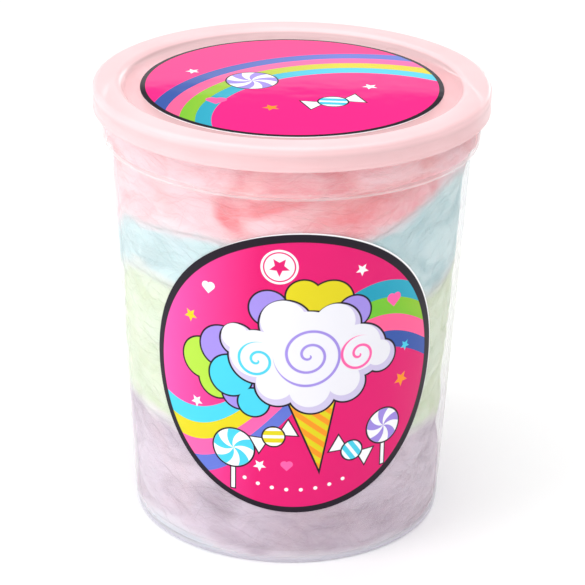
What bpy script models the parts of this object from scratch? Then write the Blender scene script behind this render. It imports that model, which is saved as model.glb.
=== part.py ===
"""Cotton candy sold in a round clear tub: a thin-walled tub with a snap lid, two round
stickers and four coloured layers of spun sugar.

Run with  blender --background --python part.py  or from Blender's text editor.

Frame: metres, +Z up, origin at the middle of the tub's base, on the surface it stands on.
The front, with the side sticker, faces -Y. A turn is an angle about Z counted from the
front, positive towards +X. Outlines are in millimetres, and made metres when they are turned.
"""
import math

import bmesh
import bpy

MM = 0.001                     # metres in a millimetre

# Driving sizes, in millimetres
LID_RADIUS = 59.0              # the standard snap lid, 118 mm across
HEIGHT = 137.1                 # floor to the lid's crest
WALL = 0.8                     # wall of the tub and of the lid
COLLAR_RADIUS = 56.3           # the straight neck under the lid
SHOULDER_Z = 119.7             # where the neck steps in to the tapered body
SHOULDER_LEDGE = 0.4           # rise of the neck's lower face above that
SHOULDER_BEND = 0.8            # radius of the neck's lower edge
SHOULDER_RADIUS = 53.95        # top of the tapered body
FOOT_RADIUS = 47.65            # body radius just above the base's rounded edge
FOOT_BEND = 2.4                # radius of the rounded edge at the base
FOOT_INNER_RADIUS = 43.7       # inner edge of the flat foot ring
FOOT_CHAMFER = 1.2             # width of the slope from the foot ring up to the base panel
BASE_RECESS = 1.2              # height of the base panel above the foot ring
FLOOR = 0.9                    # thickness of the base panel
RIM_RADIUS = 57.9              # the tub's rim, hidden under the lid
RIM_TOP = 135.8
RIM_FOOT = 131.6
RIM_BEND = 0.6                 # radius of the rim's upper edges, and the slope under it
PANEL_TOP = 135.1              # the lid's sunk middle
PANEL_RADIUS = 49.2
CREST_BEND = 2.2               # radius of the lid's outer edge
SKIRT_FOOT = 129.85            # lowest edge of the lid
SKIRT_STEP = 0.2               # depth of the shallow band round the skirt
SNAP_BEAD = 0.9                # how far the skirt's snap bead stands in under the rim
PLUG_WALL = 0.7                # the ring under the lid that plugs the tub's mouth
PLUG_DEPTH = 3.4
FIT_GAP = 0.3                  # between pieces that rest on each other

LID_STICKER_RADIUS = 45.0
SIDE_STICKER_RADIUS = 45.8
STICKER_THICKNESS = 0.2
STICKER_GAP = 0.2
SIDE_STICKER_Z = 64.1          # height of the side sticker's middle
SIDE_STICKER_TURN = math.radians(3.5)

CANDY_TOP = 133.8
CANDY_FLOOR = 2.5
CANDY_SHOULDER_DROP = 2.4      # how far the candy rounds off at its top and bottom edges
LUMP = 0.5                     # depth of the lumps where the candy meets the wall

TURN_STEPS = 52                # facets round the tub and the lid
CANDY_STEPS = 36               # facets round the candy
CANDY_RINGS = 4                # rings from the middle to the edge of a seam
CANDY_ROWS = 4                 # rows up the side of a layer
CORNER_STEPS = 3               # chords in a rounded corner
STICKER_RINGS = 7              # rings and facets of the bent side sticker
STICKER_STEPS = 36
SHARP_ANGLE = 40.0             # edges sharper than this, in degrees, are shaded as edges

# Seams between the candy layers: height at the middle, then waves round the tub, each
# (turns of the wave, height in mm, phase in degrees). One turn is a plain tilt.
SEAM_LAVENDER_GREEN = (38.5, ((1, 2.0, 180), (4, 1.2, 330)))
SEAM_GREEN_BLUE = (84.5, ((1, 0.8, 180), (5, 2.4, 340)))
SEAM_BLUE_PINK = (106.0, ((1, 7.0, 0), (3, 3.6, 228)))


def clear_scene():
    for item in list(bpy.data.objects):
        bpy.data.objects.remove(item, do_unlink=True)


def make_material(name, colour, roughness, alpha=1.0):
    material = bpy.data.materials.new(name)
    material.use_nodes = True
    shader = material.node_tree.nodes["Principled BSDF"]
    shader.inputs["Base Color"].default_value = (*colour, 1.0)
    shader.inputs["Roughness"].default_value = roughness
    shader.inputs["Metallic"].default_value = 0.0
    shader.inputs["Alpha"].default_value = alpha
    return material


def make_object(name, shape, material):
    """Turn a finished bmesh into a named object whose faces point outwards."""
    bmesh.ops.recalc_face_normals(shape, faces=shape.faces)
    mesh = bpy.data.meshes.new(name)
    shape.to_mesh(mesh)
    shape.free()
    mesh.materials.append(material)
    mesh.shade_smooth()
    mesh.set_sharp_from_angle(angle=math.radians(SHARP_ANGLE))
    item = bpy.data.objects.new(name, mesh)
    bpy.context.scene.collection.objects.link(item)
    return item


def corner(centre, radius, start, end, steps=CORNER_STEPS):
    """Points on an arc in the outline's plane, from the start to the end angle in degrees."""
    turns = [math.radians(start + (end - start) * step / steps) for step in range(steps + 1)]
    return [(centre[0] + radius * math.cos(turn), centre[1] + radius * math.sin(turn))
            for turn in turns]


def turned(name, outline, material):
    """Spin an outline of (radius, height), which starts and ends on the axis, into a solid."""
    shape = bmesh.new()
    points = [shape.verts.new((radius * MM, 0.0, height * MM)) for radius, height in outline]
    edges = [shape.edges.new(pair) for pair in zip(points, points[1:])]
    bmesh.ops.spin(shape, geom=points + edges, cent=(0, 0, 0), axis=(0, 0, 1),
                   angle=math.tau, steps=TURN_STEPS, use_merge=True)
    bmesh.ops.remove_doubles(shape, verts=shape.verts, dist=1e-6)
    bmesh.ops.triangulate(shape, faces=shape.faces)
    return make_object(name, shape, material)


def cap_ends(shape, loops, first_middle, last_middle):
    """Close the first and the last loop of a skin with fans of triangles."""
    for loop, middle in ((loops[0], first_middle), (loops[-1], last_middle)):
        centre = shape.verts.new(middle)
        for corner_a, corner_b in zip(loop, loop[1:] + loop[:1]):
            shape.faces.new((centre, corner_a, corner_b))


# ---------------------------------------------------------------- tub and lid

def body_radius(height):
    """Outer radius of the tapered body, in millimetres."""
    taper = (SHOULDER_RADIUS - FOOT_RADIUS) / (SHOULDER_Z - FOOT_BEND)
    return FOOT_RADIUS + taper * (height - FOOT_BEND)


def tub_outline():
    """Base panel, foot ring, tapered wall, stepped neck and rolled rim, then back down inside."""
    foot_centre = (body_radius(FOOT_BEND) - FOOT_BEND, FOOT_BEND)
    floor_top = BASE_RECESS + FLOOR
    inner_bend = FOOT_BEND - WALL
    inner_collar = COLLAR_RADIUS - WALL
    inner_ledge = SHOULDER_Z + SHOULDER_LEDGE + WALL
    rim_centre_z = RIM_TOP - RIM_BEND
    outside = [(0.0, BASE_RECESS), (FOOT_INNER_RADIUS - FOOT_CHAMFER, BASE_RECESS)]
    outside += [(FOOT_INNER_RADIUS, 0.0)]
    outside += corner(foot_centre, FOOT_BEND, -90, -3)
    outside += [(body_radius(SHOULDER_Z), SHOULDER_Z)]
    outside += corner((COLLAR_RADIUS - SHOULDER_BEND, SHOULDER_Z + SHOULDER_LEDGE + SHOULDER_BEND),
                      SHOULDER_BEND, -90, 0)
    outside += [(COLLAR_RADIUS, RIM_FOOT - RIM_BEND), (RIM_RADIUS, RIM_FOOT)]
    outside += corner((RIM_RADIUS - RIM_BEND, rim_centre_z), RIM_BEND, 0, 90, 2)
    inside = corner((inner_collar + RIM_BEND, rim_centre_z), RIM_BEND, 90, 180, 2)
    inside += [(inner_collar, inner_ledge + SHOULDER_BEND)]
    inside += [(inner_collar - SHOULDER_BEND, inner_ledge)]
    inside += [(body_radius(SHOULDER_Z) - WALL, SHOULDER_Z + FIT_GAP)]
    inside += corner((foot_centre[0], floor_top + inner_bend), inner_bend, -3, -90)
    inside += [(0.0, floor_top)]
    return outside + inside


def lid_outline():
    """Sunk panel, ramp to the crest, rounded skirt with its snap bead, then back underneath."""
    bend_centre = (LID_RADIUS - CREST_BEND, HEIGHT - CREST_BEND)
    band_radius = LID_RADIUS - SKIRT_STEP
    band_top = HEIGHT - CREST_BEND - 1.2
    skirt_inner = LID_RADIUS - WALL
    bead_inner = skirt_inner - SNAP_BEAD
    under = HEIGHT - WALL
    plug_outer = COLLAR_RADIUS - WALL - FIT_GAP
    plug_inner = plug_outer - PLUG_WALL
    plug_foot = RIM_TOP - PLUG_DEPTH
    top = [(0.0, PANEL_TOP), (PANEL_RADIUS, PANEL_TOP), (PANEL_RADIUS + 0.8, PANEL_TOP + 0.4)]
    top += [(PANEL_RADIUS + 1.8, HEIGHT - 0.4), (PANEL_RADIUS + 2.7, HEIGHT)]
    top += corner(bend_centre, CREST_BEND, 90, 0)
    skirt = [(LID_RADIUS, band_top), (band_radius, band_top - 0.3), (band_radius, SKIRT_FOOT + 1.1)]
    skirt += [(LID_RADIUS, SKIRT_FOOT + 0.7), (LID_RADIUS - 0.1, SKIRT_FOOT)]
    skirt += [(skirt_inner - 0.2, SKIRT_FOOT), (bead_inner, SKIRT_FOOT + 0.5)]
    skirt += [(bead_inner, SKIRT_FOOT + 0.9), (skirt_inner, SKIRT_FOOT + 1.4)]
    skirt += corner(bend_centre, CREST_BEND - WALL, 0, 90)
    plug = [(plug_outer, under), (plug_outer, plug_foot), (plug_inner, plug_foot)]
    plug += [(plug_inner, under), (PANEL_RADIUS + 3.0, under)]
    plug += [(PANEL_RADIUS + 1.2, PANEL_TOP - WALL + 0.1), (0.0, PANEL_TOP - WALL)]
    return top + skirt + plug


# ------------------------------------------------------------------- stickers

def lid_sticker(name, material):
    """Flat round sticker on the lid's panel."""
    low = PANEL_TOP + STICKER_GAP
    high = low + STICKER_THICKNESS
    outline = [(0.0, low), (LID_STICKER_RADIUS, low), (LID_STICKER_RADIUS, high), (0.0, high)]
    return turned(name, outline, material)


def on_body(across, up, lift):
    """A point of the flat sticker wrapped on the tapered body, in metres.

    Across is measured along the wall at the sticker's own height, so the sticker keeps
    its width, and lift is the distance out from the wall.
    """
    height = SIDE_STICKER_Z + up
    radius = body_radius(height)
    turn = SIDE_STICKER_TURN + across / radius
    out = radius + lift
    return (out * math.sin(turn) * MM, -out * math.cos(turn) * MM, height * MM)


def side_sticker(name, material):
    """Round sticker bent round the body: two discs of concentric rings, joined at the edge."""
    rings, steps = STICKER_RINGS, STICKER_STEPS
    lifts = (STICKER_GAP, STICKER_GAP + STICKER_THICKNESS)
    turns = [math.tau * step / steps for step in range(steps)]
    sizes = [SIDE_STICKER_RADIUS * ring / rings for ring in range(1, rings + 1)]
    places = [(size, lifts[0]) for size in sizes] + [(size, lifts[1]) for size in reversed(sizes)]
    shape = bmesh.new()
    loops = [[shape.verts.new(on_body(size * math.cos(turn), size * math.sin(turn), lift))
              for turn in turns] for size, lift in places]
    for first, second in zip(loops, loops[1:]):
        for step in range(steps):
            after = (step + 1) % steps
            shape.faces.new((first[step], first[after], second[after], second[step]))
    cap_ends(shape, loops, on_body(0.0, 0.0, lifts[0]), on_body(0.0, 0.0, lifts[1]))
    return make_object(name, shape, material)


# ---------------------------------------------------------------- spun sugar

def seam(shape, offset):
    """Height of a seam over (turn, share): its middle, plus waves that grow to the wall.

    Share runs from 0 in the middle of the tub to 1 at the wall. Offset moves the seam up
    or down, to leave half of the gap on each side of it.
    """
    middle, waves = shape

    def height(turn, share):
        wave = sum(size * math.sin(count * turn + math.radians(phase)) * share ** min(count, 2)
                   for count, size, phase in waves)
        return middle + wave + offset

    return height


def candy_top(turn, share):
    """Nearly flat under the lid, with shallow lumps, rounding off at its edge."""
    lumps = 0.5 * share * math.sin(3 * turn + 1.0) - 0.5
    return CANDY_TOP + lumps - CANDY_SHOULDER_DROP * share ** 8


def candy_base(turn, share):
    """Flat on the tub's floor, rounding up at its edge."""
    return CANDY_FLOOR + CANDY_SHOULDER_DROP * share ** 8


def candy_radius(turn, height):
    """Radius of the candy at the wall: the gap, and soft lumps that lie inside it."""
    lump = LUMP * (0.5 + 0.5 * math.sin(5 * turn + 0.13 * height) * math.cos(0.21 * height))
    return body_radius(height) - WALL - FIT_GAP - lump


def candy_layer(name, low, high, material):
    """A solid between two seams: rings over the lower one, rows up the wall, rings back."""
    turns = [math.tau * step / CANDY_STEPS for step in range(CANDY_STEPS)]
    shares = [ring / CANDY_RINGS for ring in range(1, CANDY_RINGS + 1)]
    rows = [row / CANDY_ROWS for row in range(1, CANDY_ROWS)]

    def point(turn, share, height, edge_height):
        radius = candy_radius(turn, edge_height) * share
        return (radius * math.sin(turn) * MM, -radius * math.cos(turn) * MM, height * MM)

    def disc_ring(cover, share):
        return [point(turn, share, cover(turn, share), cover(turn, 1.0)) for turn in turns]

    def wall_row(part):
        heights = [low(turn, 1.0) * (1 - part) + high(turn, 1.0) * part for turn in turns]
        return [point(turn, 1.0, height, height) for turn, height in zip(turns, heights)]

    rings = [disc_ring(low, share) for share in shares]
    rings += [wall_row(part) for part in rows]
    rings += [disc_ring(high, share) for share in reversed(shares)]
    shape = bmesh.new()
    loops = [[shape.verts.new(place) for place in ring] for ring in rings]
    for first, second in zip(loops, loops[1:]):
        inward = loops.index(first) >= CANDY_RINGS + len(rows)
        for step in range(CANDY_STEPS):
            after = (step + 1) % CANDY_STEPS
            a, b, c, d = first[step], first[after], second[after], second[step]
            triangles = ((a, b, d), (b, c, d)) if inward else ((a, b, c), (a, c, d))
            for triangle in triangles:
                shape.faces.new(triangle)
    cap_ends(shape, loops, (0, 0, low(0.0, 0.0) * MM), (0, 0, high(0.0, 0.0) * MM))
    return make_object(name, shape, material)


def make_candy():
    half = FIT_GAP / 2
    layers = (
        ("candy_lavender", candy_base, seam(SEAM_LAVENDER_GREEN, -half), (0.76, 0.66, 0.80)),
        ("candy_green", seam(SEAM_LAVENDER_GREEN, half), seam(SEAM_GREEN_BLUE, -half),
         (0.82, 0.88, 0.70)),
        ("candy_blue", seam(SEAM_GREEN_BLUE, half), seam(SEAM_BLUE_PINK, -half),
         (0.60, 0.82, 0.88)),
        ("candy_pink", seam(SEAM_BLUE_PINK, half), candy_top, (0.92, 0.42, 0.50)),
    )
    for name, low, high, colour in layers:
        candy_layer(name, low, high, make_material(name, colour, 0.9))


def main():
    clear_scene()
    turned("tub", tub_outline(), make_material("clear_plastic", (0.93, 0.95, 0.95), 0.2, 0.35))
    turned("lid", lid_outline(), make_material("milky_plastic", (0.95, 0.90, 0.91), 0.3, 0.6))
    print_finish = make_material("printed_sticker", (0.90, 0.04, 0.25), 0.2)
    side_sticker("side_label", print_finish)
    lid_sticker("lid_label", print_finish)
    make_candy()


main()
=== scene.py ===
"""Looks of a tub of cotton candy: a hazy clear tub and a milky snap lid turned from fine
outlines, four pressed layers of spun sugar with loose strands over them, and two glossy
round stickers whose print is drawn by their finishes.

Shapes are worked out in millimetres on grids and made metres when they become meshes. A
turn is an angle about Z counted from the front (-Y), positive towards +X.
"""

import bpy
import numpy as np
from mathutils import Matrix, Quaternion, Vector


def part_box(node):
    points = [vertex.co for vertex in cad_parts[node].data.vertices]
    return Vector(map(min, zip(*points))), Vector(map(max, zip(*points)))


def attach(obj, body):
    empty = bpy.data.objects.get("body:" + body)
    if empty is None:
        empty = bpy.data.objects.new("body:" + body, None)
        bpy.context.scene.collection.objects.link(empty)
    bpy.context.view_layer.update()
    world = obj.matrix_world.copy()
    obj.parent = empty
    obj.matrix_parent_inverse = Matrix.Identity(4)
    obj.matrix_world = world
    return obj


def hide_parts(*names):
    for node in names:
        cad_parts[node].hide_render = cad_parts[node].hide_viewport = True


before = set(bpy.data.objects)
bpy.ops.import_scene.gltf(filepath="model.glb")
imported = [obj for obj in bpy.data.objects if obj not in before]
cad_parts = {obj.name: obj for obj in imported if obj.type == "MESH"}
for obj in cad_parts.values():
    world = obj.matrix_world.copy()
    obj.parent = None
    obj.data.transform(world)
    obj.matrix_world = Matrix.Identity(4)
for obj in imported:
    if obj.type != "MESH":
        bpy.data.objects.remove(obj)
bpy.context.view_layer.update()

MM = 0.001
TAU = 2 * np.pi


# ------------------------------------------------------------ sizes from the frame

def box_mm(node):
    low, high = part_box(node)
    return np.array(low) / MM, np.array(high) / MM


LID_LOW, LID_HIGH = box_mm("lid")
TUB_LOW, TUB_HIGH = box_mm("tub")
LID_LABEL_LOW, LID_LABEL_HIGH = box_mm("lid_label")
SIDE_LOW, SIDE_HIGH = box_mm("side_label")

LID_RADIUS = LID_HIGH[0]
CREST_Z = LID_HIGH[2]
SKIRT_FOOT = LID_LOW[2]
RIM_RADIUS = TUB_HIGH[0]
RIM_TOP = TUB_HIGH[2]
WALL = 0.8
COLLAR_RADIUS = RIM_RADIUS - 1.6
SHOULDER_Z = RIM_TOP - 16.1
SHOULDER_RADIUS = COLLAR_RADIUS - 2.35
FOOT_BEND = 2.4
FOOT_RADIUS = SHOULDER_RADIUS - 6.3
FOOT_INNER_RADIUS = FOOT_RADIUS - 3.95
BASE_RECESS = 1.2
FLOOR = 0.9
PANEL_TOP = LID_LABEL_LOW[2] - 0.2
PANEL_RADIUS = LID_RADIUS - 9.8

LID_STICKER_RADIUS = LID_LABEL_HIGH[0]
STICKER_RADIUS = (SIDE_HIGH[2] - SIDE_LOW[2]) / 2
STICKER_Z = (SIDE_HIGH[2] + SIDE_LOW[2]) / 2
STICKER_WALL = FOOT_RADIUS + (SHOULDER_RADIUS - FOOT_RADIUS) * STICKER_Z / SHOULDER_Z
STICKER_REACH = STICKER_WALL * np.cos(STICKER_RADIUS / STICKER_WALL)
STICKER_TURN = np.arcsin((SIDE_HIGH[0] + SIDE_LOW[0]) / 2 / STICKER_REACH)
STICKER_THICK = 0.12
STICKER_LIFT = 0.03

FLOSS_PRESS = 0.5             # how far the floss reaches into the wall that it is pressed on
FLOSS_FLOOR = BASE_RECESS + 0.25
FLOSS_TOP = PANEL_TOP - WALL - 0.3

# Seams between the layers of floss: middle height, then waves round the tub, each (turns,
# height, phase in degrees), then local dips and rises, each (turn in degrees, width, height)
SEAM_FOOT = (1.4, ((2, 1.6, 200), (5, 1.3, 10)), ((-34, 12, 4.0), (44, 14, 3.0)))
SEAM_LAVENDER_GREEN = (38.5, ((1, 2.0, 180), (4, 1.2, 330), (9, 0.6, 40)), ((62, 12, 1.0),))
SEAM_GREEN_BLUE = (84.5, ((1, 0.8, 180), (5, 2.4, 340), (11, 0.6, 100)), ((70, 14, 1.5),))
SEAM_BLUE_PINK = (106.0, ((1, 7.0, 0), (3, 3.6, 228), (10, 0.7, 10)), ((-78, 12, -2.5), (60, 9, 2.5)))


# Packed folds of the pink floss, a deeper colour that is partly painted shade of the folds: turn, height, half
# width, half height, slope, strength
RICH_PATCHES = (
    (18, 116, 36, 12, 0.0, 0.48), (30, 124, 18, 5, 0.0, -0.4), (60, 116, 12, 12, 0.0, -0.4),
    (-30, 117, 7, 9, 0.0, -0.5), (95, 136, 60, 7, 0.0, 0.6), (4, 115.5, 9, 2.5, 0.1, -0.35), (-20, 113.5, 5, 4.5, -0.7, 1.0), (-10, 116.0, 9, 2.6, 0.22, 0.8),
    (0, 126, 17, 5, 0.0, 0.35), (17, 114, 13, 4, 0.1, 0.35), (44, 113, 8, 4, 0.5, 0.2),
    (-8, 111.0, 6, 2.5, 0.1, -0.4), (-52, 115, 24, 17, 0.0, -1.0), (-58, 93, 24, 9, 0.0, -0.9),
    (17, 11, 26, 9, 0.0, 0.6), (8, 17, 14, 6, 0.0, 0.35), (-45, 6, 22, 10, 0.0, -0.3),
    (104, 116, 16, 6, 0.4, 0.5), (150, 121, 14, 5, -0.4, 0.6), (-140, 117, 12, 5, 0.5, 0.6),
    (-175, 112, 12, 4, 0.2, -0.4))


# -------------------------------------------------------------------- smooth noise

def lattice_noise(points, size, seed):
    """Smooth noise from -1 to 1 over points (n, 3): a value for each corner of a lattice of
    cubes of the given size, from a hash of its place, blended along each axis by
    3 t^2 - 2 t^3."""
    cell = points / size
    base = np.floor(cell).astype(np.int64)
    part = cell - base
    part = part * part * (3 - 2 * part)
    total = np.zeros(len(points))
    for corner in range(8):
        step = np.array([corner >> axis & 1 for axis in range(3)])
        key = (base + step + 4096).astype(np.uint64)
        mixed = key[:, 0] * 73856093 ^ key[:, 1] * 19349663 ^ key[:, 2] * 83492791
        mixed = (mixed ^ np.uint64(seed * 2654435761)) & np.uint64(0xFFFFFFFF)
        mixed = (mixed ^ mixed >> np.uint64(15)) * np.uint64(2246822519) & np.uint64(0xFFFFFFFF)
        mixed = mixed ^ mixed >> np.uint64(13)
        value = (mixed & np.uint64(0xFFFF)).astype(float) / 32767.5 - 1
        total += np.prod(np.where(step, part, 1 - part), axis=1) * value
    return total


def layered_noise(points, size, seed, layers=3):
    """Noise at halving sizes and strengths, summed and brought back to about -1 to 1."""
    strengths = [0.5 ** layer for layer in range(layers)]
    total = sum(strength * lattice_noise(points, size * strength, seed + layer)
                for layer, strength in enumerate(strengths))
    return total / sum(strengths) * 1.5


def smooth(value, start, end):
    """0 at start, 1 at end, with flat ends between."""
    part = np.clip((value - start) / (end - start), 0, 1)
    return part * part * (3 - 2 * part)


# ----------------------------------------------------------------- meshes from grids

def add_piece(name, vertices, faces, finish, node, values=None, sharp_angle=50):
    """A mesh object from vertices in millimetres and lists of faces, declared as a piece
    of the root body. Values are numbers for each vertex, by name."""
    mesh = bpy.data.meshes.new(name)
    mesh.from_pydata((np.asarray(vertices) * MM).tolist(), [], faces)
    for key, numbers in (values or {}).items():
        attribute = mesh.attributes.new(key, "FLOAT", "POINT")
        attribute.data.foreach_set("value", np.asarray(numbers, np.float32))
    mesh.materials.append(finish)
    mesh.shade_smooth()
    mesh.set_sharp_from_angle(angle=np.radians(sharp_angle))
    mesh.update()
    piece = bpy.data.objects.new(name, mesh)
    bpy.context.scene.collection.objects.link(piece)
    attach(piece, "root")
    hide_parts(node)
    return piece


def ring_faces(rings, columns):
    """Faces of a skin of closed rings, numbered ring by ring, with a pole before the first
    ring and one after the last: quads between the rings and a fan at each pole."""
    ring = np.arange(rings - 1)[:, None] * columns
    column = np.arange(columns)[None, :]
    after = (column + 1) % columns
    quads = np.stack((ring + column, ring + after, ring + columns + after,
                      ring + columns + column), axis=-1).reshape(-1, 4)
    first = np.arange(columns)
    second = (first + 1) % columns
    last = (rings - 1) * columns
    poles = rings * columns + np.zeros(columns, int)
    bottom = np.stack((poles, second, first), axis=-1)
    top = np.stack((poles + 1, last + first, last + second), axis=-1)
    return quads.tolist() + bottom.tolist() + top.tolist()


def on_turn(turn, radius, height):
    """Points at a turn, a radius and a height, as an array with x, y and z last."""
    turn, radius, height = np.broadcast_arrays(turn, radius, height)
    return np.stack((radius * np.sin(turn), -radius * np.cos(turn), height), axis=-1)


def softened(corners, steps=5):
    """An outline with rounded corners. Each corner is (radius, height, cut): it is cut back
    by that length along both of its sides, and a quadratic curve joins the two cuts. A
    third column says which corner each point belongs to."""
    outline = [np.array((*corners[0][:2], 0))]
    for order, (before, here, after) in enumerate(zip(corners, corners[1:], corners[2:]), 1):
        spot = np.array(here[:2])
        sides = [np.array(other[:2]) - spot for other in (before, after)]
        lengths = [np.hypot(*side) for side in sides]
        cut = min(here[2], 0.49 * min(lengths))
        ends = [spot + side / length * cut for side, length in zip(sides, lengths)]
        part = np.linspace(0, 1, steps + 1 if cut > 0.01 else 1)[:, None]
        curve = (1 - part) ** 2 * ends[0] + 2 * part * (1 - part) * spot + part ** 2 * ends[1]
        outline.extend(np.column_stack((curve, np.full(len(curve), order))))
    outline.append(np.array((*corners[-1][:2], len(corners) - 1)))
    return np.array(outline)


def turned(name, corners, depths, finish, node, columns=224):
    """A solid turned about Z from an outline that starts and ends on the axis. The outline
    runs from the underside outwards and back, so that its faces point outwards. The number
    named haze is 1, or what depths says for a corner: 0 where it faces the contents, more
    where the plastic is thick."""
    outline = softened(corners)
    rings = outline[1:-1]
    turn = np.linspace(0, TAU, columns, endpoint=False)
    vertices = on_turn(turn[None, :], rings[:, :1], rings[:, 1:2]).reshape(-1, 3)
    poles = [(0, 0, outline[0][1]), (0, 0, outline[-1][1])]
    depth = np.ones(len(corners))
    for corner, share in depths.items():
        depth[corner] = share
    depth = depth[outline[:, 2].astype(int)]
    haze = np.append(np.repeat(depth[1:-1], columns), depth[[0, -1]])
    return add_piece(name, np.vstack((vertices, poles)), ring_faces(len(rings), columns),
                     finish, node, {"haze": haze}, sharp_angle=60)


# --------------------------------------------------------------------------- finishes

class Value:
    """A number, colour or vector in a finish. Arithmetic on it adds Math nodes."""

    def __init__(self, finish, socket):
        self.finish = finish
        self.socket = socket

    def math(self, operation, *others, **settings):
        inputs = dict(enumerate((self, *others)))
        return self.finish.node("Math", {"operation": operation, **settings}, inputs)

    def __add__(self, other):
        return self.math("ADD", other)

    def __sub__(self, other):
        return self.math("SUBTRACT", other)

    def __rsub__(self, other):
        return (self * -1) + other

    def __mul__(self, other):
        return self.math("MULTIPLY", other)

    def __truediv__(self, other):
        return self.math("DIVIDE", other)

    def __pow__(self, other):
        return self.math("POWER", other)

    def __abs__(self):
        return self.math("ABSOLUTE")

    __radd__ = __add__
    __rmul__ = __mul__

    def least(self, other):
        return self.math("MINIMUM", other)

    def most(self, other):
        return self.math("MAXIMUM", other)

    def clamped(self):
        return self.math("ADD", 0.0, use_clamp=True)

    def part(self, index):
        """One of the three numbers of a vector."""
        return self.finish.node("SeparateXYZ", None, {0: self}, index)


class Finish:
    """A material's nodes. Any node but a Math one is added by node()."""

    def __init__(self, name):
        self.material = bpy.data.materials.new(name)
        self.material.use_nodes = True
        self.tree = self.material.node_tree
        self.tree.nodes.clear()

    def node(self, kind, settings=None, inputs=None, output=0):
        made = self.tree.nodes.new("ShaderNode" + kind)
        for key, setting in (settings or {}).items():
            if key == "stops":
                self.set_stops(made.color_ramp, setting)
            else:
                setattr(made, key, setting)
        for key, given in (inputs or {}).items():
            if isinstance(given, Value):
                self.tree.links.new(given.socket, made.inputs[key])
            else:
                made.inputs[key].default_value = given
        return Value(self, made.outputs[output]) if made.outputs else None

    @staticmethod
    def set_stops(ramp, stops):
        interpolation, pairs = stops
        ramp.interpolation = interpolation
        while len(ramp.elements) < len(pairs):
            ramp.elements.new(0.5)
        for element, (position, colour) in zip(ramp.elements, pairs):
            element.position = position
            element.color = colour

    def place(self, scale=(1, 1, 1)):
        """Object coordinates in millimetres, stretched by a scale."""
        coordinates = self.node("TexCoord", output="Object")
        return self.node("VectorMath", {"operation": "MULTIPLY"},
                         {0: coordinates, 1: [part / MM for part in scale]})

    def noise(self, place, size, detail=3.0, rough=0.5, twist=0.0):
        """Noise from 0 to 1 whose lumps are about size millimetres across."""
        return self.node("TexNoise", None, {"Vector": place, "Scale": 1 / size,
                                            "Detail": detail, "Roughness": rough,
                                            "Distortion": twist})

    def number(self, name):
        """A number that the piece holds for each vertex."""
        return self.node("Attribute", {"attribute_name": name}, output="Fac")

    def blend(self, share, first, second):
        """The first colour where share is 0, the second where it is 1."""
        return self.node("Mix", {"data_type": "RGBA"}, {0: share, 6: first, 7: second}, 2)

    def ramp(self, value, *pairs, interpolation="LINEAR"):
        return self.node("ValToRGB", {"stops": (interpolation, pairs)}, {0: value})

    def bump(self, height, distance, strength=1.0):
        return self.node("Bump", None, {"Height": height, "Distance": distance,
                                        "Strength": strength})

    def surface(self, **inputs):
        """End the finish in a Principled shader. Socket names have _ for each space."""
        named = {key.replace("_", " "): given for key, given in inputs.items()}
        shader = self.node("BsdfPrincipled", None, named)
        self.node("OutputMaterial", None, {"Surface": shader})
        return self.material


def ink(red, green, blue):
    """A colour given as it looks on a screen, 0 to 255, made linear for a shader."""
    channels = np.array([red, green, blue]) / 255
    linear = np.where(channels <= 0.04045, channels / 12.92, ((channels + 0.055) / 1.055) ** 2.4)
    return (*linear.tolist(), 1.0)


# ------------------------------------------------------------------------- the plastic

def clear_plastic(name, tint, haze, edge_haze, roughness, ior, painted_glow, foot_painted_light):
    """Hazy injection-moulded plastic. Alpha stands for its haze: little where it is seen
    face on, more towards its edges, with faint flow clouds from the moulding. Where the
    haze number is below one, and in the foot, it has a painted glow: an emission that
    stands in for light run along inside the plastic. The foot's colour is also painted
    towards a colour taken up from the contents, as painted light from them."""
    finish = Finish(name)
    height = finish.place().part(2)
    foot = finish.node("MapRange", {"interpolation_type": "SMOOTHSTEP"},
                       {"Value": height, "From Min": 3.2, "From Max": 1.2})
    facing = finish.node("LayerWeight", None, {"Blend": 0.5}, "Facing")
    rim = finish.node("MapRange", {"interpolation_type": "SMOOTHSTEP"},
                      {"Value": facing, "From Min": 0.84, "From Max": 0.97})
    clouds = finish.noise(finish.place((1, 1, 0.25)), 22, 2)
    alpha = haze + facing ** 2 * (edge_haze * 0.4) + rim * (edge_haze * 0.6)
    alpha = (alpha + (clouds - 0.5) * (haze * 0.2)) * finish.number("haze") + foot * 0.25
    ripple = finish.noise(finish.place((1, 1, 0.4)), 9, 2)
    # Painted light: the foot's colour turns towards the contents' colour.
    colour = finish.blend(foot * 0.85, tint, foot_painted_light)
    # Painted glow: an emission where the haze number is below one and in the foot.
    light = ((1 - finish.number("haze")) * painted_glow + foot * 0.22).clamped()
    return finish.surface(
        Base_Color=colour, Roughness=roughness + (clouds - 0.5) * 0.1 + foot * 0.3, IOR=ior,
        Emission_Color=finish.blend(light, (0, 0, 0, 1), colour), Emission_Strength=1.0,
        Alpha=alpha.clamped(), Normal=finish.bump(ripple, 0.0001, 0.4))


def body_radius(height):
    """Outer radius of the tapered body."""
    taper = (SHOULDER_RADIUS - FOOT_RADIUS) / (SHOULDER_Z - FOOT_BEND)
    return FOOT_RADIUS + taper * (height - FOOT_BEND)


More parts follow.
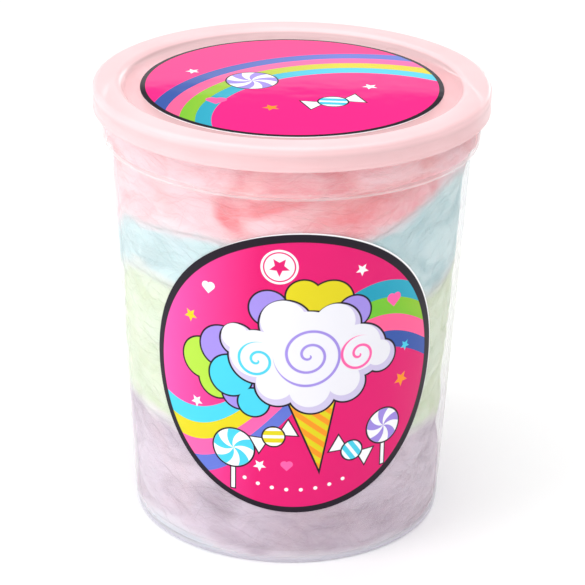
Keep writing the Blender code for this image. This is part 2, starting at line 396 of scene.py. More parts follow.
def make_tub():
    """The tub, from its base panel out over the foot ring, up the wall, the neck and the
    rolled rim, and down inside to the floor. A gate mark stands in the middle of the base."""
    ledge = SHOULDER_Z + 0.4
    inner_collar = COLLAR_RADIUS - WALL
    floor_top = BASE_RECESS + FLOOR
    corners = [
        (0, BASE_RECESS - 0.5, 0), (1.6, BASE_RECESS - 0.5, 0.2), (1.9, BASE_RECESS, 0.2),
        (FOOT_INNER_RADIUS - 14, BASE_RECESS, 0.2), (FOOT_INNER_RADIUS - 14.4, BASE_RECESS + 0.2, 0.1),
        (FOOT_INNER_RADIUS - 1.2, BASE_RECESS + 0.2, 0.5), (FOOT_INNER_RADIUS, 0, 0.4),
        (body_radius(0), 0, FOOT_BEND), (body_radius(5), 5, 0), (body_radius(SHOULDER_Z - 2), SHOULDER_Z - 2, 0),
        (body_radius(SHOULDER_Z), ledge - 0.1, 0.8), (COLLAR_RADIUS - 0.9, ledge, 0.5),
        (COLLAR_RADIUS - 0.15, ledge + 0.7, 0.5), (COLLAR_RADIUS, ledge + 1.7, 0.5),
        (COLLAR_RADIUS, ledge + 2.6, 0),
        (COLLAR_RADIUS, RIM_TOP - 4.8, 0.4), (RIM_RADIUS, RIM_TOP - 4.2, 0.4),
        (RIM_RADIUS, RIM_TOP, 0.6), (inner_collar, RIM_TOP, 0.6),
        (inner_collar, ledge + WALL, 1.1), (body_radius(SHOULDER_Z) - WALL, ledge + WALL, 1.1),
        (body_radius(floor_top) - WALL, floor_top, FOOT_BEND - WALL), (0, floor_top, 0)]
    # The last colour is the foot's painted light, a pale lavender grey from the contents; with a glow of 0.0 the
    # only painted glow is in the foot.
    finish = clear_plastic("hazy_clear_plastic", (0.87, 0.865, 0.86, 1), 0.19, 0.31, 0.36, 1.6, 0.0,
                           ink(204, 200, 213))
    depths = {-5: 0, -4: 0, -3: 0, -2: 0, -1: 0, 5: 1.2, 6: 1.4, 7: 1.3, 11: 1.6, 12: 1.9, 13: 1.4}
    return turned("tub_shell", corners, depths, finish, "tub")


def make_lid():
    """The snap lid. Its outline starts under the panel, runs down the plug ring, over the
    snap bead and up the skirt, round the crest and back across the sunk panel."""
    skirt_inner = LID_RADIUS - WALL
    bead_inner = skirt_inner - 0.9
    under = CREST_Z - WALL
    plug_outer = COLLAR_RADIUS - WALL - 0.3
    plug_inner = plug_outer - 0.7
    plug_foot = RIM_TOP - 3.4
    corners = [
        (0, PANEL_TOP - WALL, 0), (PANEL_RADIUS + 1.0, PANEL_TOP - WALL, 0.6),
        (PANEL_RADIUS + 2.8, under, 0.5), (plug_inner, under, 0.3), (plug_inner, plug_foot, 0.2),
        (plug_outer, plug_foot, 0.2), (plug_outer, under, 0.3), (skirt_inner, under, 1.4),
        (skirt_inner, SKIRT_FOOT + 1.4, 0.3), (bead_inner, SKIRT_FOOT + 0.9, 0.2),
        (bead_inner, SKIRT_FOOT + 0.5, 0.2), (skirt_inner - 0.2, SKIRT_FOOT, 0.2),
        (LID_RADIUS, SKIRT_FOOT, 0.4), (LID_RADIUS, SKIRT_FOOT + 0.8, 0.3),
        (LID_RADIUS - 0.16, SKIRT_FOOT + 1.4, 0.4), (LID_RADIUS - 0.16, CREST_Z - 4.0, 0.5),
        (LID_RADIUS, CREST_Z - 3.2, 0.5), (LID_RADIUS, CREST_Z, 2.9),
        (PANEL_RADIUS + 2.3, CREST_Z, 1.1), (PANEL_RADIUS + 0.6, PANEL_TOP, 0.8),
        (0, PANEL_TOP, 0)]
    # The lid's pink is partly its own tint and partly painted light from the pink floss under it. The glow of
    # 0.55 is a painted glow, an emission on the sunk panel and the foot of its wall, where the haze numbers are
    # 0.62 and 0.8.
    pink = (1.0, 0.685, 0.706, 1)
    finish = clear_plastic("milky_plastic", pink, 0.62, 0.2, 0.3, 1.5, 0.55, pink)
    depths = {corner: 0 for corner in range(7)} | {17: 1.25, 18: 1.35, 19: 0.8, 20: 0.62}
    return turned("lid_shell", corners, depths, finish, "lid")


# --------------------------------------------------------------------- the spun sugar

def seam_height(seam, turn, share=1.0):
    """Height of a seam: its middle, with waves that grow from the middle to the wall as
    share goes from 0 to 1, and local bumps (a bell of the turn) that show at the wall."""
    middle, waves, bumps = seam
    height = middle + 0 * turn
    for count, size, phase in waves:
        height = height + size * np.sin(count * turn + np.radians(phase)) * share ** min(count, 2)
    for at, width, size in bumps:
        away = (np.degrees(turn) - at + 180) % 360 - 180
        height = height + size * np.exp(-(away / width) ** 2) * share ** 2
    return height


def floor_height(turn, share=1.0):
    """The underside of the floss: flat on the floor, rounding up at its edge."""
    return FLOSS_FLOOR - smooth(share, 0.935, 1.0) + 0 * turn


def roof_height(turn, share=1.0):
    """The top of the floss, just under the lid, rounding off at its edge."""
    return FLOSS_TOP - 2.6 * share ** 9 + 0.35 * share * np.sin(3 * turn + 1.0) - 0.35


def shrunk(points, turn):
    """How far the floss has drawn away from the wall along one side of the tub."""
    side = np.exp(-(((np.degrees(turn) - 86 + 180) % 360 - 180) / 17) ** 2)
    level = smooth(points[:, 2], 8, 30) * (1 - smooth(points[:, 2], 108, 122))
    return 1.5 * side * level


def inner_wall(height):
    """Radius of the tub's inner wall: rounded in at the floor, then the taper, then a step
    out into the neck."""
    foot = 1.3 * (1 - smooth(height, FLOSS_FLOOR - 1.6, FLOSS_FLOOR + 1))
    step = smooth(height, SHOULDER_Z + 0.2, SHOULDER_Z + 2.4)
    taper = body_radius(np.minimum(height, SHOULDER_Z + 1)) - WALL
    return taper + (COLLAR_RADIUS - WALL - taper) * step - foot


def relief(points):
    """How far the floss lies back from the wall, in millimetres: narrow creases where a
    folded sheet meets the next, shallow hollows between them, and fine strings."""
    stretch = points * (1.0, 1.0, 1.9)
    drift = np.stack([layered_noise(stretch, 16, 11 + axis, 2) for axis in range(3)], axis=-1)
    bent = stretch + drift * 7
    crease = 1 - smooth(np.abs(lattice_noise(bent, 27, 5)), 0.0, 0.3)
    small_crease = 1 - smooth(np.abs(lattice_noise(bent, 12, 8)), 0.0, 0.4)
    hollow = smooth(layered_noise(stretch, 20, 21), 0.1, 0.9)
    strings = layered_noise(points * (1, 1, 3.2) + drift * 2, 2.6, 31)
    return 0.85 * crease + 0.22 * small_crease + 0.9 * hollow + 0.1 * (strings + 1)


def colour_mix(points, turn, seam):
    """Share of the upper colour near a seam, 0 to 1: the height over the seam, shifted by
    stretched noise so that wisps of each colour cross it."""
    wisps = layered_noise(points * (0.55, 0.55, 1.7), 7, 61, 4) * 2.6
    above = points[:, 2] - seam_height(seam, turn) + wisps
    return smooth(above, -3.2, 3.2)


def slackness(points, turn, seams):
    """Share of the relief that shows: less on the seams, where the layers are pressed into
    each other, and none behind the side sticker."""
    from_sticker = (turn - STICKER_TURN + np.pi) % TAU - np.pi
    away = np.hypot(from_sticker * SHOULDER_RADIUS, points[:, 2] - STICKER_Z)
    calm = smooth(away, STICKER_RADIUS - 1, STICKER_RADIUS + 7)
    for seam in seams:
        if seam:
            over = points[:, 2] - seam_height(seam, turn)
            calm = calm * (1 - 0.75 * np.exp(-(over / 4.0) ** 2))
    return calm


def rich_patches(points, turn):
    """Deeper colour where the pink floss is packed in thick folds against the wall, partly
    painted shade of those folds: soft ellipses in turn and height, leaning by a slope, some
    below zero where it is thin."""
    total = np.zeros(len(points))
    for at, height, wide, high, lean, strength in RICH_PATCHES:
        along = ((np.degrees(turn) - at + 180) % 360 - 180) * 0.94
        over = points[:, 2] - height - lean * along
        total += strength * np.exp(-(along / wide) ** 2 - (over / high) ** 2)
    return total


def floss_values(points, turn, low_seam, high_seam):
    """The numbers that the floss finishes read at each vertex."""
    # fold is painted shade: the colour deepens where the relief sets the floss back from the wall in creases and
    # hollows, and in the packed patches.
    values = {"fold": np.clip(relief(points) / 2.5 + rich_patches(points, turn), -0.7, 1),
              "from_low": np.ones(len(points)), "to_high": np.zeros(len(points))}
    if low_seam:
        values["from_low"] = colour_mix(points, turn, low_seam)
    if high_seam:
        values["to_high"] = colour_mix(points, turn, high_seam)
    return values


def floss_layer(name, low, high, finish, slot, seams, columns=420, rows=96, cap_rings=10):
    """A layer of floss between two heights. Rings run over its underside, rows up the wall,
    rings back over its top. At the wall its radius is the inner wall's plus the press, less
    the relief; over the top the relief pushes down instead."""
    shares = np.linspace(0, 1, cap_rings + 1)[1:]
    parts = np.linspace(0, 1, rows + 1)[1:-1]
    turn = np.linspace(0, TAU, columns, endpoint=False)[None, :]
    share = np.concatenate((shares, np.ones(len(parts)), shares[::-1]))[:, None]
    part = np.concatenate((0 * shares, parts, 0 * shares + 1))[:, None]
    edge = low(turn, 1.0) * (1 - part) + high(turn, 1.0) * part
    wall = on_turn(turn, inner_wall(edge), edge).reshape(-1, 3)
    turns = np.broadcast_to(turn, edge.shape).ravel()
    depth = (relief(wall) * slackness(wall, turns, seams) + shrunk(wall, turns)).reshape(edge.shape)
    radius = (inner_wall(edge) + FLOSS_PRESS - depth) * share
    height = low(turn, share) * (1 - part) + high(turn, share) * part
    if seams[1] is None:
        spot = on_turn(turn, radius * 1.0, height)
        dent = relief(spot.reshape(-1, 3)).reshape(edge.shape)
        height = height - dent * np.where(part == 1, smooth(share, 1.0, 0.96), 0) * 0.6
    skin = on_turn(turn, radius, height).reshape(-1, 3)
    poles = [(0, 0, low(0.0, 0.0)), (0, 0, high(0.0, 0.0))]
    vertices = np.vstack((skin, poles))
    values = floss_values(vertices, np.append(turns, (0, 0)), *seams)
    faces = ring_faces(len(share), columns)
    return add_piece(name, vertices, faces, finish, slot, values)


def strand_tubes(middles, width, name, finish, slot, values):
    """Thin closed tubes of three sides along rows of points (strands, points, 3). The sides
    stand off the middle up, down and outwards, by a width that shrinks to the tips."""
    count, points = middles.shape[:2]
    along = np.linspace(0, 1, points + 2)[1:-1]
    half = width[:, None] * np.sin(np.pi * along)[None, :] ** 0.6 / 2
    out = middles * (1, 1, 0)
    out = out / np.linalg.norm(out, axis=-1, keepdims=True)
    up = np.array((0, 0, 1.0))
    sides = [middles + half[..., None] * offset for offset in (up, -up, out * 0.8)]
    rings = np.stack(sides, axis=2)
    tips = np.stack((2 * middles[:, 0] - middles[:, 1], 2 * middles[:, -1] - middles[:, -2]), axis=1)
    block = points * 3 + 2
    vertices = np.concatenate((rings.reshape(count, -1, 3), tips), axis=1).reshape(-1, 3)
    one = np.array(ring_faces(points, 3)[:3 * (points - 1)])
    ends = np.array(ring_faces(points, 3)[3 * (points - 1):])
    start = np.arange(count)[:, None, None] * block
    faces = (one + start).reshape(-1, 4).tolist() + (ends + start).reshape(-1, 3).tolist()
    spread = {key: np.repeat(numbers, block) for key, numbers in values.items()}
    spots = middles[:, points // 2]
    turn = np.arctan2(spots[:, 0], -spots[:, 1])
    return vertices, faces, spread, turn


def strands(name, low, high, finish, slot, seams, seed, count=1100):
    """Loose strings of sugar over a layer: each runs mostly round the tub from a random
    spot, at a random slant, bowed and waving a little, and rides over the creases."""
    random = np.random.default_rng(seed)
    along = np.linspace(-0.5, 0.5, 9)[None, :]
    length = random.uniform(7, 26, (count, 1))
    slant = random.normal(0, 0.4, (count, 1))
    bow = random.normal(0, 2.0, (count, 1))
    wave = random.normal(0, 0.6, (count, 1))
    phase = random.uniform(0, TAU, (count, 1))
    start = random.uniform(0, TAU, (count, 1))
    turn = start + along * length * np.cos(slant) / SHOULDER_RADIUS
    floor, roof = low(turn, 1.0) - 1.5, high(turn, 1.0) + 1.5
    height = floor + (roof - floor) * random.uniform(0, 1, (count, 1))
    height = height + along * length * np.sin(slant) + bow * (1 - 4 * along ** 2)
    height = height + wave * np.sin(along * 14 + phase)
    height = np.clip(height, FLOSS_FLOOR + 3, FLOSS_TOP - 3.2)
    wall = on_turn(turn, inner_wall(height), height).reshape(-1, 3)
    turns = turn.ravel()
    depth = 0.85 * relief(wall) * slackness(wall, turns, seams) + shrunk(wall, turns)
    depth = depth.reshape(height.shape)
    lift = random.uniform(-0.1, 0.1, (count, 1)) + FLOSS_PRESS
    middles = on_turn(turn, inner_wall(height) + lift - depth, height)
    width = random.uniform(0.06, 0.2, count)
    shade = {"shade": random.uniform(0, 1, count)}
    vertices, faces, values, _ = strand_tubes(middles, width, name, finish, slot, shade)
    turns = np.arctan2(vertices[:, 0], -vertices[:, 1])
    values.update(floss_values(vertices, turns, *seams))
    return add_piece(name, vertices, faces, finish, slot, values)


def floss_finish(name, pale, deep, tint, below, above, string_share=0.0):
    """Spun sugar: a pale colour, deeper in soft patches and, as painted shade, in its folds
    and creases, that turns into its neighbours' colours at the seams. Fine strings run round
    the tub and drift up and down, and a few hard white grains show where the sugar has not
    spun out."""
    finish = Finish(name)
    place = finish.place()
    fold = finish.number("fold")
    patches = finish.noise(finish.place((1, 1, 1.5)), 15, 4, 0.55, 0.6)
    drift = finish.node("TexNoise", None, {"Vector": place, "Scale": 1 / 34, "Detail": 2.0}, "Color")
    flow = finish.node("VectorMath", {"operation": "MULTIPLY_ADD"},
                       {0: drift, 1: (30, 30, 60), 2: place})
    flow = finish.node("VectorMath", {"operation": "MULTIPLY"}, {0: flow, 1: (0.22, 0.22, 1)})
    strings = finish.noise(flow, 2.6, 5, 0.62, 0.4)
    threads = finish.noise(flow, 0.55, 2, 0.6, 0.2)
    # Painted shade: fold pulls the colour to the deep one in creases, hollows and packed patches; the noises add
    # tone that varies at random.
    depth = fold * 0.8 + (patches - 0.45) * 0.8 + (strings - 0.5) * 0.7 + (threads - 0.5) * 0.4
    own = finish.blend(depth.clamped(), pale, deep)
    hue = finish.noise(place, 19, 3, 0.5, 0.5)
    own = finish.blend(((hue - 0.5) * 3).clamped() * 0.55, own, tint)
    grains = finish.noise(place, 0.9, 1, 0.5)
    own = finish.blend(((grains - 0.74) * 9).clamped() * 0.55, own, (1, 1, 1, 1))
    colour = own
    for name, first, second in (("from_low", below, own), ("to_high", own, above)):
        share = finish.number(name)
        colour = finish.blend(share, first if name == "from_low" else colour,
                              colour if name == "from_low" else second)
        colour = finish.blend(share * (1 - share) * 1.3, colour, SEAM_PALE)
    if string_share:
        tone = finish.number("shade")
        colour = finish.blend(((tone - 0.4) * string_share).clamped(), colour, (1, 1, 1, 1))
        colour = finish.blend((0.2 - tone).clamped(), colour, deep)
    height = strings * 0.6 + threads * 0.25 + patches * 0.6
    return finish.surface(Base_Color=colour, Roughness=0.9,
                          Subsurface_Weight=0.0 if string_share else 0.7,
                          Subsurface_Radius=(0.004, 0.003, 0.003), Subsurface_Scale=1.0,
                          Sheen_Weight=0.15, Sheen_Roughness=0.5,
                          Normal=finish.bump(height, 0.0007, 0.5))


SEAM_PALE = ink(246, 234, 240)
# A pale blue grey that the bottom of the floss turns into: partly the look of the thick foot plastic, partly
# painted reflection of the floor in it.
FOOT_PLASTIC_AND_REFLECTION = (ink(202, 207, 218),)
# The lavender's colours are set darker than the sugar's own, painted shade for the dimmer light low in the tub.
LAVENDER = (ink(210, 193, 210), ink(158, 132, 156), ink(222, 194, 206))
GREEN = (ink(218, 230, 204), ink(193, 209, 156), ink(210, 231, 210))
BLUE = (ink(199, 226, 229), ink(140, 190, 200), ink(211, 222, 235))
# The pink's deep colour is dimmed, painted shade for folds on the shaded side of the tub.
PINK = (ink(255, 205, 213), ink(240, 84, 102), ink(255, 184, 179))


def make_floss():
    """The four layers from the floor up, and the strands over each."""
    def follow(seam):
        return lambda turn, share: seam_height(seam, turn, share)

    lavender_green = follow(SEAM_LAVENDER_GREEN)
    green_blue = follow(SEAM_GREEN_BLUE)
    blue_pink = follow(SEAM_BLUE_PINK)
    layers = (
        ("lavender", LAVENDER, FOOT_PLASTIC_AND_REFLECTION, GREEN, floor_height, lavender_green,
         (SEAM_FOOT, SEAM_LAVENDER_GREEN)),
        ("green", GREEN, LAVENDER, BLUE, lavender_green, green_blue,
         (SEAM_LAVENDER_GREEN, SEAM_GREEN_BLUE)),
        ("blue", BLUE, GREEN, PINK, green_blue, blue_pink, (SEAM_GREEN_BLUE, SEAM_BLUE_PINK)),
        ("pink", PINK, BLUE, PINK, blue_pink, roof_height, (SEAM_BLUE_PINK, None)),
    )
    for order, (name, own, below, above, low, high, seams) in enumerate(layers):
        slot = "candy_" + name
        rows = int((high(0.0, 1.0) - low(0.0, 1.0)) / 0.5)
        skin = floss_finish("floss_" + name, *own, below[0], above[0])
        loose = floss_finish("strings_" + name, *own, below[0], above[0], 0.45)
        rings = 90 if name == "pink" else 10
        floss_layer("floss_" + name, low, high, skin, slot, seams, rows=rows, cap_rings=rings)
        strands("strands_" + name, low, high, loose, slot, seams, 100 + order)


# ------------------------------------------------------------------------ the stickers

PRINT_SPAN = 92.0              # millimetres of the sticker that its map covers each way
MAGENTA = ink(225, 11, 110)
DARK = ink(20, 6, 26)
WHITE = ink(250, 250, 252)
PERIWINKLE = ink(96, 116, 208)
ROSE = ink(255, 96, 168)
YELLOW = ink(222, 208, 20)
LIME = ink(176, 220, 66)
CYAN = ink(70, 206, 232)
LILAC = ink(160, 140, 226)
ORANGE = ink(252, 150, 30)
RAINBOW_TONES = (ink(48, 84, 166), ink(255, 96, 150), ink(112, 196, 48), ink(24, 156, 184))


class Print:
    """Printed shapes on a sticker, painted one over another. A shape is a distance in
    millimetres, below zero inside it."""

    def __init__(self, finish, paper):
        self.finish = finish
        self.colour = paper
        mapped = finish.node("UVMap", {"uv_map": "print"})
        self.point = finish.node("VectorMath", {"operation": "MULTIPLY_ADD"}, {
            0: mapped, 1: (PRINT_SPAN,) * 3, 2: (-PRINT_SPAN / 2, -PRINT_SPAN / 2, 0)})
        self.x = self.point.part(0)
        self.y = self.point.part(1)

    def paint(self, shape, colour, grow=0.0):
        """Lay a colour over what is printed, inside the shape grown by some millimetres."""
        share = (shape - grow).math("MULTIPLY_ADD", -1 / 0.16, 0.5, use_clamp=True)
        self.colour = self.finish.blend(share, self.colour, colour)

    def shade(self, share, colour):
        """Tint all that is printed towards a colour by a share that varies."""
        self.colour = self.finish.blend(share, self.colour, colour)

    def outlined(self, shape, colour, line=0.5):
        self.paint(shape, DARK, line)
        self.paint(shape, colour)

    def away(self, centre):
        """Distance from a point."""
        return self.finish.node("VectorMath", {"operation": "DISTANCE"},
                                {0: self.point, 1: (*centre, 0)}, 1)

    def disc(self, centre, radius):
        return self.away(centre) - radius

    def puffs(self, discs):
        """The outline of overlapping discs, each (x, y, radius)."""
        shape = None
        for x, y, radius in discs:
            disc = self.disc((x, y), radius)
            shape = disc if shape is None else shape.least(disc)
        return shape

    def bearing(self, centre):
        """Angle round a point, in radians."""
        return (self.y - centre[1]).math("ARCTAN2", self.x - centre[0])

    def slope(self, start, end):
        """Distance to the right of the line from start to end."""
        run = np.array(end) - np.array(start)
        normal = np.array((run[1], -run[0])) / np.hypot(*run)
        return self.x * float(normal[0]) + self.y * float(normal[1]) - float(normal @ start)

    def star(self, centre, radius, lean=0.0):
        """A five-pointed star: the bearing is folded into a tenth of a turn, where the star's
        edge is one straight line from a tip to the notch beside it."""
        tenth = np.pi / 5
        folded = (self.bearing(centre) + (lean + 5 * TAU)).math("PINGPONG", tenth)
        away = self.away(centre)
        across = away * folded.math("COSINE")
        up = away * folded.math("SINE")
        tip = np.array((radius, 0.0))
        notch = radius * 0.46 * np.array((np.cos(tenth), np.sin(tenth)))
        edge = notch - tip
        normal = np.array((edge[1], -edge[0])) / np.hypot(*edge)
        return across * float(normal[0]) + up * float(normal[1]) - float(normal @ tip)

    def heart(self, centre, size):
        """Two discs side by side over a square that stands on its corner."""
        x, y = centre
        discs = self.puffs(((x - size * 0.5, y + size * 0.5, size * 0.707),
                            (x + size * 0.5, y + size * 0.5, size * 0.707)))
        square = (abs(self.x - x) + abs(self.y - y) - size) * 0.707
        return discs.least(square)

    def sweet(self, centre, radius, lean, colour):
        """A striped ball of sugar in a wrapper with two twisted ends, turned by a lean."""
        along = (self.x - centre[0]) * float(np.cos(lean)) + (self.y - centre[1]) * float(np.sin(lean))
        over = (self.y - centre[1]) * float(np.cos(lean)) - (self.x - centre[0]) * float(np.sin(lean))
        ends = (abs(over) - abs(along) * 0.62 + radius * 0.35).most(abs(along) - radius * 2.05)
        self.outlined(ends, WHITE, 0.45)
        ball = self.disc(centre, radius)
        self.outlined(ball, colour, 0.5)
        stripe = (over + along * 0.5).math("PINGPONG", radius * 0.45) - radius * 0.18
        self.paint(ball.most(stripe), WHITE)

    def swirl(self, centre, pitch):
        """Distance from the line of a spiral whose turns lie a pitch apart, from 0 on the
        line to half the pitch between two turns."""
        turns = self.away(centre) / pitch + self.bearing(centre) / TAU
        return turns.math("PINGPONG", 0.5) * pitch

    def ribbons(self, across, width, colours, tones, turned_tone):
        """Parallel bands side by side over a distance across them. Each turns from its
        colour into a second tone by a share that varies along it."""
        share = across / (width * len(colours)) + 0.5
        pairs = [(index / len(colours), colour) for index, colour in enumerate(colours)]
        bands = self.finish.ramp(share, *pairs, interpolation="CONSTANT")
        tones = [(index / len(colours), colour) for index, colour in enumerate(tones)]
        tones = self.finish.ramp(share, *tones, interpolation="CONSTANT")
        bands = self.finish.blend(turned_tone, bands, tones)
        self.paint(abs(across) - width * len(colours) / 2, bands)


def print_finish(name, draw, field, gloss, shine, border_centre, border_inner, border_outer):
    """A glossy printed sticker: a field of one colour, the drawing, and a dark border."""
    finish = Finish(name)
    sheet = Print(finish, field)
    draw(sheet)
    ring = sheet.away(border_centre)
    sheet.paint(border_inner - ring, DARK)
    sheet.paint(border_outer - ring, WHITE)
    sheet.shade(1 - finish.number("printed"), WHITE)
    fibre = finish.noise(finish.place(), 0.5, 2)
    sag = finish.noise(finish.place(), 14, 2)
    return finish.surface(
        Base_Color=sheet.colour, Roughness=gloss + (fibre - 0.5) * 0.04, Specular_IOR_Level=shine,
        Normal=finish.bump(sag * 0.8 + fibre * 0.02, 0.0001, 0.3))


CLOUD = ((3, 8, 13), (-12, 6, 8.5), (18, 7, 8.5), (-4, 17, 7.5), (11, 16, 7), (-6, -3, 6.5),
         (4, -5, 7), (14, -3, 6), (25, 4, 5), (-18, 11, 5))


def draw_side(sheet):
    """Candy floss on a paper cone over a rising rainbow, with pinwheel lollipops, wrapped
    sweets, hearts and stars. The field is painted lighter towards the left, a painted pool
    of light and sheen."""
    wave = (sheet.x * 0.062 + 0.25).math("SINE")
    across = (sheet.y - wave * 15 - sheet.x * 0.22 + 3) * 0.8
    # Painted light: the field turns a lighter pink towards the left, where the key lamp falls and shines on the
    # gloss.
    sheet.shade(((-16 - sheet.x) / 42 + 0.1).clamped(), ink(250, 92, 186))
    along = (sheet.x * 0.05 + sheet.y * 0.03).math("SINE") * 0.6 + 0.4
    sheet.ribbons(across, 4.4, (PERIWINKLE, ROSE, YELLOW, CYAN), RAINBOW_TONES, along.clamped())
    tip, left, right = (6.5, -31.0), (-4.5, -4.0), (11.5, -4.0)
    cone = sheet.slope(tip, left) * -1
    cone = cone.most(sheet.slope(tip, right)).most(sheet.y - 2)
    stripes = (sheet.x * 0.8 + sheet.y).math("PINGPONG", 2.1) - 1.05
    sheet.outlined(cone, YELLOW, 0.6)
    sheet.paint(cone.most(stripes), ORANGE)
    sheet.outlined(sheet.puffs(((-29, 3, 6.5), (-24, -3, 6.0))), LIME, 0.55)
    sheet.outlined(sheet.puffs(((-23, 8, 6.5), (-17, -6, 5.5))), LILAC, 0.55)
    sheet.outlined(sheet.puffs(((-20, -1, 6.5), (-13, -9, 4.5))), CYAN, 0.55)
    sheet.outlined(sheet.puffs(((1, 26, 5.0), (9, 24, 6.5))), YELLOW, 0.55)
    sheet.outlined(sheet.puffs(((-9, 22, 5.5), (16, 20, 5.0))), LILAC, 0.55)
    sheet.outlined(sheet.puffs(CLOUD), ink(206, 198, 230), 0.6)
    lit = sheet.puffs([(x - 0.7, y + 1.1, radius - 0.9) for x, y, radius in CLOUD])
    sheet.paint(lit, ink(236, 236, 243))
    for centre, pitch, reach, colour in (((3, 7), 4.4, 10.5, LILAC), ((-12, 5), 3.6, 6, CYAN),
                                         ((18, 6), 3.6, 6, ROSE)):
        line = sheet.swirl(centre, pitch) - 0.42
        sheet.paint(line.most(sheet.disc(centre, reach)), colour)
    for centre, radius, colour in (((-19, -25), 6.2, CYAN), ((27, -20), 5.6, LILAC)):
        stick = abs(sheet.x - centre[0]) - 0.55
        stick = stick.most(sheet.y - centre[1]).most(centre[1] - radius - 7.5 - sheet.y)
        sheet.outlined(stick, WHITE, 0.4)
        wheel = sheet.disc(centre, radius)
        sheet.outlined(wheel, WHITE, 0.55)
        blades = (sheet.bearing(centre) * 5 + sheet.away(centre) * 0.55).math("SINE")
        sheet.paint(wheel.most(blades * 1.2), colour)
    badge = (-6, 35.2)
    sheet.outlined(sheet.disc(badge, 5.4), WHITE, 0.0)
    sheet.paint(abs(sheet.disc(badge, 4.5)) - 0.22, MAGENTA)
    sheet.paint(sheet.star(badge, 3.1, np.pi / 10), MAGENTA)
    for centre, lean, colour in (((-7, -20), 0.5, YELLOW), ((16.5, -26), -0.5, CYAN)):
        sheet.sweet(centre, 3.1, lean, colour)
    for centre, size, colour in (((29, 21), 2.0, ROSE), ((-27, 26), 1.7, WHITE), ((-3, -30), 1.5, ROSE)):
        sheet.paint(sheet.heart(centre, size), colour)
    for centre, radius, colour in (((33, -6), 2.6, ORANGE), ((34, 5), 1.8, CYAN),
                                   ((-33, 16), 2.2, YELLOW), ((-31, -12), 2.0, WHITE),
                                   ((18, 33), 2.0, WHITE), ((-11, -30), 2.0, WHITE)):
        sheet.paint(sheet.star(centre, radius, 0.3), colour)
    for step in range(8):
        turn = np.radians(246 + step * 6.5)
        sheet.paint(sheet.disc((38.0 * np.cos(turn), 38.0 * np.sin(turn)), 0.6), WHITE)


def draw_lid(sheet):
    """A rainbow swept round the back of the lid, a pinwheel and stars."""
    arc = sheet.away((20, -30))
    along = (sheet.x * -0.02 + 0.3).clamped()
    sheet.ribbons(arc - 52, 4.6, (CYAN, YELLOW, ROSE, PERIWINKLE), RAINBOW_TONES[::-1], along)
    centre, radius = (-12, 4), 7.5
    wheel = sheet.disc(centre, radius)
    sheet.outlined(wheel, WHITE, 0.5)
    blades = (sheet.bearing(centre) * 6 + sheet.away(centre) * 0.5).math("SINE")
    sheet.paint(wheel.most(blades * 1.2), LILAC)
    sheet.sweet((12, -14), 4.2, 0.4, CYAN)
    for place, size, colour in (((-6, -20), 2.6, ORANGE), ((23, 0), 2.4, WHITE), ((-30, 12), 2.2, WHITE)):
        sheet.paint(sheet.star(place, size, 0.5), colour)
    sheet.paint(sheet.heart((-22, -15), 2.6), ROSE)


def sticker(name, place, radius, finish, node, rings=40, columns=180):
    """A round sticker with a thin paper edge. Rings of both faces are placed by a function
    of (across, up, lift), and the map named print runs over the flat sheet. The number
    named printed is 1 on the outer face and 0 on the one that sticks."""
    sizes = radius * np.sin(np.linspace(0, np.pi / 2, rings + 1)[1:])
    size = np.concatenate((sizes, sizes[::-1]))[:, None]
    lift = np.concatenate((np.full(rings, STICKER_LIFT), np.full(rings, STICKER_LIFT + STICKER_THICK)))
    turn = np.linspace(0, TAU, columns, endpoint=False)[None, :]
    across, up = size * np.cos(turn), size * np.sin(turn)
    lifts = np.broadcast_to(lift[:, None], across.shape)
    skin = place(across, up, lifts).reshape(-1, 3)
    poles = place(np.zeros(2), np.zeros(2), lift[[0, -1]])
    faces = ring_faces(2 * rings, columns)
    printed = np.append(np.repeat(lift > STICKER_LIFT, columns), (0, 1))
    piece = add_piece(name, np.vstack((skin, poles)), faces, finish, node,
                      {"printed": printed}, sharp_angle=45)
    flat = np.stack((np.append(across, (0, 0)), np.append(up, (0, 0))), axis=-1) / PRINT_SPAN + 0.5
    corners = np.empty(len(piece.data.loops), np.int32)
    piece.data.loops.foreach_get("vertex_index", corners)
    piece.data.uv_layers.new(name="print").data.foreach_set("uv", flat[corners].ravel())
    return piece


def on_side(across, up, lift):
    """Wraps the flat sheet round the tapered body at the sticker's place."""
    height = STICKER_Z + up
    radius = body_radius(height)
    return on_turn(STICKER_TURN + across / radius, radius + lift, height)


def on_lid(across, up, lift):
    """Lays the flat sheet on the lid's panel."""
    return np.stack((across, up, PANEL_TOP + lift), axis=-1)


def make_stickers():
    side = print_finish("side_print", draw_side, MAGENTA, 0.3, 0.22, (-0.42, -0.45), 43.4, 45.9)
    sticker("side_sticker", on_side, STICKER_RADIUS, side, "side_label")
    top = print_finish("lid_print", draw_lid, ink(255, 14, 132), 0.02, 0.33, (0.0, 0.6), 43.5, 45.2)
    sticker("lid_sticker", on_lid, LID_STICKER_RADIUS, top, "lid_label")


# ------------------------------------------------------------- floor, light, camera

CAMERA_ELEVATION = np.radians(23.75)
CAMERA_ROLL = np.radians(0.86)
CAMERA_DISTANCE = 0.718
CAMERA_AIM = Vector((0.001, 0.0, 0.0683))
CAMERA_LENS = 143.66
HORIZON_TOP = np.sin(np.radians(18.7))


def make_floor():
    finish = Finish("pale_floor")
    finish.surface(Base_Color=(0.93, 0.93, 0.935, 1), Roughness=0.6)
    mesh = bpy.data.meshes.new("floor")
    half = 3.0
    mesh.from_pydata([(-half, -half, 0), (half, -half, 0), (half, half, 0), (-half, half, 0)], [],
                     [(0, 1, 2, 3)])
    mesh.materials.append(finish.material)
    floor = bpy.data.objects.new("floor", mesh)
    bpy.context.scene.collection.objects.link(floor)


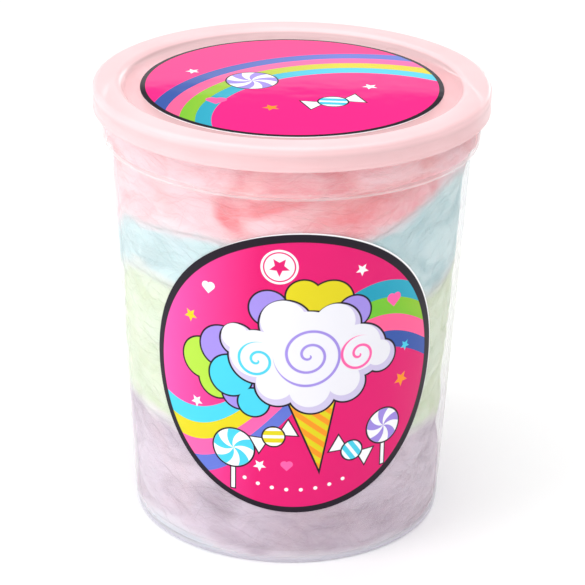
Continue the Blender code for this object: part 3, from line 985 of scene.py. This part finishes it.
def add_light(name, place, aim, size, power, colour=(1, 1, 1)):
    light = bpy.data.lights.new(name, "AREA")
    light.shape = "ELLIPSE"
    light.size, light.size_y = size
    light.energy = power
    light.color = colour
    lamp = bpy.data.objects.new(name, light)
    lamp.location = place
    lamp.rotation_euler = (Vector(aim) - Vector(place)).to_track_quat("-Z", "Y").to_euler()
    bpy.context.scene.collection.objects.link(lamp)


def make_light():
    world = bpy.data.worlds.new("studio")
    world.use_nodes = True
    tree = world.node_tree
    direction = tree.nodes.new("ShaderNodeTexCoord")
    parts = tree.nodes.new("ShaderNodeSeparateXYZ")
    ramp = tree.nodes.new("ShaderNodeValToRGB")
    Finish.set_stops(ramp.color_ramp, ("LINEAR", (
        (HORIZON_TOP - 0.001, (0.75, 0.75, 0.75, 1)), (HORIZON_TOP + 0.001, (0.2, 0.2, 0.205, 1)),
        (0.58, (0.2, 0.2, 0.205, 1)), (0.75, (0.95, 0.95, 0.95, 1)))))
    tree.links.new(direction.outputs["Generated"], parts.inputs[0])
    tree.links.new(parts.outputs[2], ramp.inputs[0])
    tree.links.new(ramp.outputs[0], tree.nodes["Background"].inputs[0])
    bpy.context.scene.world = world
    add_light("key", (-1.1, -0.5, 0.55), (0, 0, 0.07), (0.9, 0.9), 6.4)
    add_light("overhead", (-0.1, -0.2, 1.35), (0, 0, 0.07), (2.2, 2.2), 14)
    add_light("fill", (0.95, -0.6, 0.95), (0, 0, 0.08), (0.8, 0.8), 0.85, (1, 0.91, 0.8))
    add_light("front", (0.1, -1.3, 1.1), (0, 0, 0.12), (0.6, 0.6), 1.8)
    add_light("rim", (0.7, 1.42, 0.38), (0, 0, 0.13), (0.8, 0.26), 2.4)
    bpy.context.scene.view_settings.view_transform = "Standard"


def make_camera():
    camera = bpy.data.cameras.new("camera")
    camera.lens = CAMERA_LENS
    camera.sensor_width = 36.0
    camera.clip_start = 0.01
    holder = bpy.data.objects.new("camera", camera)
    away = Vector((0, -np.cos(CAMERA_ELEVATION), np.sin(CAMERA_ELEVATION)))
    holder.location = CAMERA_AIM + away * CAMERA_DISTANCE
    holder.rotation_mode = "QUATERNION"
    look = (-away).to_track_quat("-Z", "Y")
    holder.rotation_quaternion = look @ Quaternion((0, 0, 1), CAMERA_ROLL)
    bpy.context.scene.collection.objects.link(holder)
    bpy.context.scene.camera = holder


make_camera()
make_floor()
make_light()
make_tub()
make_lid()
make_floss()
make_stickers()
